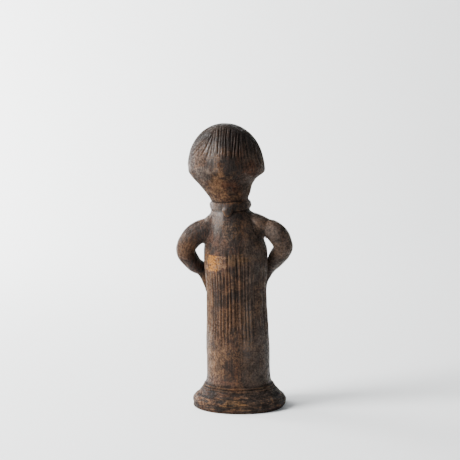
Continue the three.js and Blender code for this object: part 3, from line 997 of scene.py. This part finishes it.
def spot_group():
    """Shared shader group: one ragged patch on the back of the figure, round its middle and half sizes."""
    sizes = dict.fromkeys((*SPOT_BOX, "Ragged"), "NodeSocketFloat")
    tree, sketch, given, ends = new_group(
        "RaggedSpot", {"Place": "NodeSocketVector", **sizes}, {"Spot": "NodeSocketFloat"}
    )
    axes = sketch.put("ShaderNodeSeparateXYZ", None, Vector=given["Place"]).outputs
    squares = []
    for axis, middle, half in ((axes[0], "Across", "Half width"), (axes[2], "Up", "Half height")):
        share = sketch.maths("DIVIDE", sketch.maths("SUBTRACT", axis, given[middle]), given[half])
        squares.append(sketch.times(share, share))
    away = sketch.maths("SQRT", sketch.maths("ADD", *squares))
    broad = sketch.maths("SUBTRACT", sketch.grain(given["Place"], 190.0, 5.0, 0.7, 0.4), 0.5)
    away = sketch.maths("MULTIPLY_ADD", broad, given["Ragged"], away)
    spot = sketch.band(away, 1.15, 0.75)
    sketch.feed(ends["Spot"], sketch.times(spot, sketch.band(axes[1], -0.002, 0.003)))
    return tree


def marks(colours):
    """Marks on the back: name, box in millimetres in the order of SPOT_BOX, raggedness, share and colour."""
    return (
        # Painted sheen: a grey highlight on the shoulder slope below the collar.
        ("painted sheen on the shoulder", 11.5, 147.0, 4.5, 12.0, 1.6, 0.55, colours.grey),
        ("pale strip", 19.5, 78.0, 5.0, 46.0, 2.2, 0.5, colours.rubbed),
        ("warm waist", 9.0, 130.0, 8.5, 5.0, 2.4, 0.3, colours.red),
        ("pale skirt", 14.0, 38.0, 10.0, 13.0, 2.6, 0.62, colours.rubbed),
        ("lit hem", 8.0, 21.6, 15.0, 1.7, 1.6, 0.7, colours.red),
        ("earthy nape", 11.0, 176.0, 8.5, 10.0, 5.0, 0.6, colours.rubbed),
        ("red nape", 3.5, 174.5, 7.0, 4.0, 4.0, 0.75, colours.red),
        ("red ear", -14.5, 187.5, 5.5, 5.5, 3.0, 0.75, colours.red),
        ("smear on the hair", 0.0, 187.0, 5.0, 12.0, 2.2, 0.75, colours.dark),
        ("grey jaw", 22.0, 182.0, 7.0, 7.0, 2.4, 0.6, colours.grey),
        # Painted sheen: a grey highlight on the lit side of the hair.
        ("painted sheen on the hair", 14.0, 194.0, 5.0, 11.0, 3.4, 0.5, colours.grey),
        ("black neck", -3.5, 154.0, 8.0, 7.0, 2.4, 0.9, colours.dark),
        ("brown back", -1.0, 138.0, 7.5, 12.0, 2.4, 0.8, colours.dark),
        ("black speck", -22.5, 138.5, 2.2, 2.4, 1.0, 0.9, colours.dark),
        ("yellow crumbs", -4.0, 117.5, 8.0, 4.0, 6.0, 0.6, colours.earth),
        ("rim chip", -1.5, 7.5, 9.0, 3.4, 4.0, 0.8, colours.earth),
        ("rim scuff", 15.0, 4.5, 7.0, 2.0, 3.0, 0.4, colours.grey),
        ("rim glow", 29.0, 7.0, 6.0, 6.0, 2.4, 0.7, colours.red),
    )


def burnished_spots():
    """Places on the back that the hand polished, in millimetres, in the order of SPOT_BOX."""
    return (
        (14.0, 200.0, 7.0, 13.0),
        (10.5, 148.0, 4.0, 8.0),
        (8.0, 156.5, 6.0, 2.2),
        (-12.0, 60.0, 4.0, 22.0),
    )


def ragged_spot(sketch, slip, label, box, ragged):
    """Mask of one ragged patch from its box in millimetres, in the order of SPOT_BOX."""
    settings = {"node_tree": slip.spots, "label": label}
    spot = sketch.put("ShaderNodeGroup", settings, Place=slip.place, Ragged=ragged)
    for socket, value in zip(SPOT_BOX, box):
        spot.inputs[socket].default_value = value * MM
    return spot.outputs[0]


def flaked_patch(sketch, slip):
    """Share of the back that lies in the flaked patch, straight along its top and ragged elsewhere."""
    axes = slip.axes
    jitter = sketch.maths("SUBTRACT", sketch.grain(slip.place, 260.0, 4.0, 0.65), 0.5)
    across = sketch.maths("MULTIPLY_ADD", jitter, 0.02, axes[0])
    up = sketch.maths("MULTIPLY_ADD", jitter, 0.014, axes[2])
    slanted = sketch.maths("MULTIPLY_ADD", axes[0], 0.35, up)
    mask = sketch.band(axes[1], 0.0, 0.004)
    edge = 0.0004
    for value, limit, soft in (
        (across, 0.0046, edge),
        (across, 0.0184, -edge),
        (slanted, 0.1128, edge),
        (axes[2], 0.1199, -edge),
    ):
        mask = sketch.times(mask, sketch.band(value, limit - soft, limit + soft))
    return mask, across


def smoke_layer(sketch, slip, colours):
    """Clouds of smoke on brown slip, red where it was drawn thin, and greyer on the -X side: partly smoke,
    partly painted fill light away from the key.
    """
    tone = sketch.blend(slip.masks["Clouds"], opaque(colours.dark), opaque(colours.brown))
    tone = sketch.tint(tone, colours.red, sketch.times(slip.drawn, 0.5))
    # Partly grey smoke, partly painted fill light: the -X side, away from the key light, is lightened toward
    # grey.
    cool = sketch.times(sketch.band(slip.axes[0], -0.003, -0.015), 0.72)
    return sketch.tint(tone, colours.grey, cool)


def speck_layer(sketch, slip, tone, colours):
    """Dark mottles and pits, and pale specks where the clouds of smoke are thin."""
    for mask, share in ((slip.masks["Mottles"], 0.6), (slip.masks["Specks"], 0.45)):
        between = sketch.maths("SUBTRACT", 1.0, mask)
        tone = sketch.tint(tone, colours.dark, sketch.times(between, share))
    pale = sketch.times(slip.masks["Specks"], sketch.band(slip.masks["Clouds"], 0.3, 1.0, 0.03, 0.26))
    return sketch.tint(tone, colours.rubbed, pale)


def foot_layer(sketch, slip, tone, colours):
    """Dark bands turned round the foot, and pale chips along its rim."""
    bands, up = slip.masks["Bands"], slip.axes[2]
    turned = sketch.times(slip.foot, sketch.band(bands, 1.0, 0.0, 0.0, 0.75))
    tone = sketch.tint(tone, colours.dark, turned)
    chips = sketch.times(sketch.band(bands, 0.4, 1.0), sketch.band(slip.masks["Mottles"], 0.3, 0.9))
    chips = sketch.times(chips, sketch.band(up, 0.013, 0.009))
    chips = sketch.times(chips, sketch.band(up, 0.0015, 0.0045))
    return sketch.tint(tone, colours.rubbed, sketch.times(chips, 0.65))


def flaked_layer(sketch, slip, tone, colours):
    """Bare ochre clay in the flaked patch, dusty along one side."""
    patch, across = slip.flaked
    dusty = sketch.blend(0.45, opaque(colours.rubbed), opaque(colours.grey))
    bare = sketch.blend(sketch.band(across, 0.0108, 0.0132), dusty, opaque(colours.ochre))
    worn = sketch.times(patch, sketch.band(slip.masks["Specks"], 0.0, 0.6, 0.3, 0.85))
    return sketch.blend(worn, tone, bare)


def wear_layer(sketch, slip, tone, colours):
    """Ridges rubbed pale, partly as painted highlight, smoke on the crown, and painted shade in the hollows.
    """
    up = slip.axes[2]
    # Partly painted highlight: the raised ridges are lightened, besides being rubbed.
    rubbed = sketch.band(slip.masks["Mottles"], 0.1, 0.8, 0.3, 0.9)
    rubbed = sketch.times(sketch.wear("ridge"), rubbed, clamp=True)
    rubbed = sketch.times(rubbed, sketch.band(up, 0.190, 0.206, 1.0, 0.55))
    tone = sketch.tint(tone, colours.rubbed, rubbed)
    tone = sketch.tint(tone, colours.dark, sketch.times(sketch.band(up, 0.190, 0.212), 0.72))
    # Painted shade: the hollows, grooves and creases are darkened toward the dark colour.
    return sketch.tint(tone, colours.dark, sketch.times(slip.hollow, 0.9, clamp=True))


def slip_finish(sketch, slip):
    """How dull the slip is, and the polish on its burnished spots."""
    masks, up = slip.masks, slip.axes[2]
    under_bob = sketch.times(sketch.band(up, 0.186, 0.181), sketch.band(up, 0.158, 0.164))
    changes = [(under_bob, 0.3), (slip.foot, 0.25), (masks["Mottles"], -0.12)]
    polish = 0.0
    for box in burnished_spots():
        spot = ragged_spot(sketch, slip, "burnished", box, 2.4)
        changes.append((spot, -0.2))
        polish = sketch.maths("MAXIMUM", spot, polish)
    rough = sketch.band(masks["Specks"], 0.0, 1.0, 0.74, 0.42)
    for mask, change in [*changes, (slip.hollow, 0.25)]:
        rough = sketch.maths("MULTIPLY_ADD", mask, change, rough)
    rough = sketch.maths("MULTIPLY_ADD", slip.flaked[0], 0.3, rough, clamp=True)
    return rough, sketch.times(polish, 0.17)


def slip_material(colours):
    """Brown burnished slip: smoked and mottled, painted shade in the hollows, ridges rubbed pale and partly
    painted as highlight, one ochre patch.
    """
    material, sketch, place = new_material("smoked_burnished_slip")
    axes = sketch.put("ShaderNodeSeparateXYZ", None, Vector=place).outputs
    clouds = sketch.put("ShaderNodeGroup", {"node_tree": clouds_group()}, Place=place)
    clouds.inputs["Cloud size"].default_value = 70.0
    masks, foot = clouds.outputs, sketch.band(axes[2], 0.0205, 0.018)
    ways = {"i0": foot, "i2": masks["Streaks"], "i3": masks["Bands"]}
    drawn = sketch.put("ShaderNodeMix", {"data_type": "FLOAT"}, **ways)
    slip = SimpleNamespace(
        place=place,
        axes=axes,
        masks=masks,
        foot=foot,
        drawn=drawn.outputs[0],
        hollow=sketch.wear("hollow"),
        spots=spot_group(),
    )
    slip.flaked = flaked_patch(sketch, slip)

    tone = smoke_layer(sketch, slip, colours)
    for name, *box, ragged, share, tint in marks(colours):
        tone = sketch.tint(tone, tint, sketch.times(ragged_spot(sketch, slip, name, box, ragged), share))
    for layer in (speck_layer, foot_layer, flaked_layer, wear_layer):
        tone = layer(sketch, slip, tone, colours)
    rough, polish = slip_finish(sketch, slip)
    height = sketch.maths("MULTIPLY_ADD", masks["Grit"], 0.25, sketch.times(masks["Specks"], 0.4))
    height = sketch.maths("MULTIPLY_ADD", slip.drawn, 0.6, height)
    values = {"Roughness": rough, "Normal": sketch.relief(height, 0.6, 0.0005), "Base Color": tone}
    sketch.surface({**values, "Specular IOR Level": 0.15, "Coat Weight": polish, "Coat Roughness": 0.34})
    return material


def bare_material(colours):
    """Unslipped clay of the inside, dusty and rough."""
    material, sketch, place = new_material("bare_inside_clay")
    clouds = sketch.put("ShaderNodeGroup", {"node_tree": bpy.data.node_groups["FiredClouds"]}, Place=place)
    clouds.inputs["Cloud size"].default_value = 110.0
    tone = sketch.blend(clouds.outputs["Clouds"], opaque(colours.brown), opaque(colours.red))
    tone = sketch.tint(tone, colours.earth, sketch.times(clouds.outputs["Mottles"], 0.4))
    relief = sketch.relief(clouds.outputs["Grit"], 0.7, 0.0006)
    sketch.surface({"Base Color": tone, "Roughness": 0.9, "Normal": relief})
    return material


def added_clay(sizes):
    """Everything that is pressed on the skin: arms, thumbs, webs at the shoulders, collar, tab and nose."""
    arms = [(1, 0.0, 0.02, 41), (-1, 3.4, 0.3, 43)]
    webs = [
        ((15.5, 1.0, SHOULDER_Z - 4.8), (11.0, 8.0, 5.6), 0.63),
        ((-18.6, 1.5, SHOULDER_Z - 6.5), (15.0, 8.5, 6.6), -0.40),
    ]
    made = [arm_mesh(side, lift, swing, sizes, seed) for side, lift, swing, seed in arms]
    made += [thumb_mesh(side, lift, swing, sizes) for side, lift, swing, _ in arms]
    made += [web_mesh(place, half_sizes, tilt) for place, half_sizes, tilt in webs]
    nose = nose_mesh(float(lean(WIDEST_Z)), -mm(sizes.head_depth) / 2)
    return made + [collar_mesh(sizes), tab_mesh(sizes), nose]


def face_slots():
    """Cutters of the two eyes and the mouth."""
    middle = float(lean(WIDEST_Z))
    eye, mouth = (8.8, 3.3), (9.2, 2.4)
    slots = ((-EYE_ASIDE, EYE_Z, eye), (EYE_ASIDE, EYE_Z, eye), (0.0, MOUTH_Z, mouth))
    return [almond_cutter(*size, middle + aside, z) for aside, z, size in slots]


class CLAY_OT_figure(bpy.types.Operator):
    """Model the hollow clay figure with its combed robe, arms, collar and head."""

    bl_idname = "clay.figure"
    bl_label = "Clay figure"

    def execute(self, context):
        sizes, colours = context.scene.clay_sizes, context.scene.clay_colours
        clays = [slip_material(colours), bare_material(colours)]
        body = as_object(skin_mesh(sizes), "clay_figure", clays)
        tools = [("UNION", as_object(bm, "added_clay", clays)) for bm in added_clay(sizes)]
        tools.append(("DIFFERENCE", as_object(hollow_mesh(sizes), "hollow", clays, 1)))
        tools += [("DIFFERENCE", as_object(bm, "slot", clays, 1)) for bm in face_slots()]
        join_solids(body, tools)
        soften_seams(body.data, seam_zones())
        mark_wear(body.data)
        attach(body, "root")
        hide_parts(NODE)
        return {"FINISHED"}


def stage_material(colours):
    """Plain pale paper with a faint unevenness."""
    material, sketch, place = new_material("pale_stage")
    paper = sketch.times(sketch.grain(place, 6.0, 2.0), 0.04)
    paler = opaque([min(1.0, value * 1.03) for value in colours.floor])
    tone = sketch.blend(paper, opaque(colours.floor), paler)
    sketch.surface({"Base Color": tone, "Roughness": 0.9, "Specular IOR Level": 0.2})
    return material


def area_light(name, place, target, size, power):
    """A square soft light that looks at a target."""
    light = bpy.data.lights.new(name, "AREA")
    light.size = size
    light.energy = power
    light.color = (1.0, 0.995, 0.98)
    lamp = bpy.data.objects.new(name, light)
    lamp.location = place
    lamp.rotation_euler = (Vector(target) - Vector(place)).to_track_quat("-Z", "Y").to_euler()
    bpy.context.scene.collection.objects.link(lamp)


def sweep_mesh(look, left):
    """The stage in metres: a level floor that curves up into a wall behind the figure."""
    near, bend_start, bend_radius, top, half_width = -2.6, 0.9, 0.7, 3.0, 3.0
    profile = [(near, 0.0), (bend_start, 0.0)]
    for turn in np.linspace(0.1, math.pi / 2, 12):
        rise = bend_radius - bend_radius * math.cos(turn)
        profile.append((bend_start + bend_radius * math.sin(turn), rise))
    profile.append((bend_start + bend_radius, top))
    bm = bmesh.new()
    verts = [bm.verts.new(-look * away - left * half_width + Vector((0, 0, z))) for away, z in profile]
    edges = [bm.edges.new(pair) for pair in zip(verts, verts[1:])]
    drawn_out(bm, bmesh.ops.extrude_edge_only(bm, edges=edges), left * 2 * half_width)
    bmesh.ops.recalc_face_normals(bm, faces=bm.faces)
    if bm.faces[0].normal.z < 0:
        bmesh.ops.reverse_faces(bm, faces=bm.faces)
    for face in bm.faces:
        face.smooth = True
    mesh = bpy.data.meshes.new("stage_sweep")
    bm.to_mesh(mesh)
    bm.free()
    return mesh


def light_stage(look, left, key_power):
    """A key light and a light over it from the left, a wash on the wall, and a faint cool sky."""
    up = Vector((0, 0, 1))
    centre = up * 0.1
    for name, place, target, size, share in (
        ("key", left * 0.85 + look * 0.35 + up * 0.72, centre, 0.5, 1.0),
        ("over", left * 1.0 - look * 0.1 + up * 1.2, centre, 1.0, 0.5),
        ("wash", left * 1.05 - look * 0.75 + up * 0.5, look * -1.2 + left * 0.65, 0.8, 2.0),
    ):
        area_light(name, place, target, size, share * key_power)
    world = bpy.data.worlds.new("studio")
    world.use_nodes = True
    sky = world.node_tree.nodes["Background"].inputs
    sky["Color"].default_value = (0.93, 0.96, 1.0, 1.0)
    sky["Strength"].default_value = 0.25
    bpy.context.scene.world = world


def photo_camera(look, left, settings):
    """The camera behind the figure, which stands a little beside the picture's middle."""
    camera = bpy.data.cameras.new("camera")
    picture, sensor, middle_pixel, axis_pixel = 460, 36.0, 230.0, 234.1
    camera.sensor_width = sensor
    camera.lens = settings.focal_pixels / picture * sensor
    aside = (axis_pixel - middle_pixel) * settings.distance / settings.focal_pixels
    view = bpy.data.objects.new("camera", camera)
    view.location = look * settings.distance + left * aside + Vector((0, 0, settings.camera_height))
    gaze = -look * math.cos(settings.pitch) + Vector((0, 0, -math.sin(settings.pitch)))
    view.rotation_euler = gaze.to_track_quat("-Z", "Y").to_euler()
    bpy.context.scene.collection.objects.link(view)
    bpy.context.scene.camera = view


class CLAY_OT_stage(bpy.types.Operator):
    """Set the pale stage, the soft lights and the camera behind the figure."""

    bl_idname = "clay.stage"
    bl_label = "Pale stage"

    def execute(self, context):
        settings = context.scene.clay_stage
        look = Vector((math.sin(CAMERA_TURN), math.cos(CAMERA_TURN), 0.0))
        left = Vector((math.cos(CAMERA_TURN), -math.sin(CAMERA_TURN), 0.0))
        mesh = sweep_mesh(look, left)
        mesh.materials.append(stage_material(context.scene.clay_colours))
        sweep = bpy.data.objects.new("stage_sweep", mesh)
        context.scene.collection.objects.link(sweep)
        light_stage(look, left, settings.key_power)
        photo_camera(look, left, settings)
        return {"FINISHED"}


class CLAY_PT_panel(bpy.types.Panel):
    """Lists the figure's and the stage's operators."""

    bl_label = "Clay figure"
    bl_space_type = "VIEW_3D"
    bl_region_type = "UI"
    bl_category = "Clay figure"

    def draw(self, context):
        self.layout.operator(CLAY_OT_figure.bl_idname)
        self.layout.operator(CLAY_OT_stage.bl_idname)


CLASSES = (ClaySizes, ClayColours, StageSettings, CLAY_OT_figure, CLAY_OT_stage, CLAY_PT_panel)


def register():
    for item in CLASSES:
        bpy.utils.register_class(item)
    bpy.types.Scene.clay_sizes = PointerProperty(type=ClaySizes)
    bpy.types.Scene.clay_colours = PointerProperty(type=ClayColours)
    bpy.types.Scene.clay_stage = PointerProperty(type=StageSettings)


def unregister():
    del bpy.types.Scene.clay_stage
    del bpy.types.Scene.clay_colours
    del bpy.types.Scene.clay_sizes
    for item in reversed(CLASSES):
        bpy.utils.unregister_class(item)


def main():
    """Makes everything in order."""
    register()
    bpy.ops.clay.stage()
    bpy.ops.clay.figure()


if __name__ == "__main__":
    main()
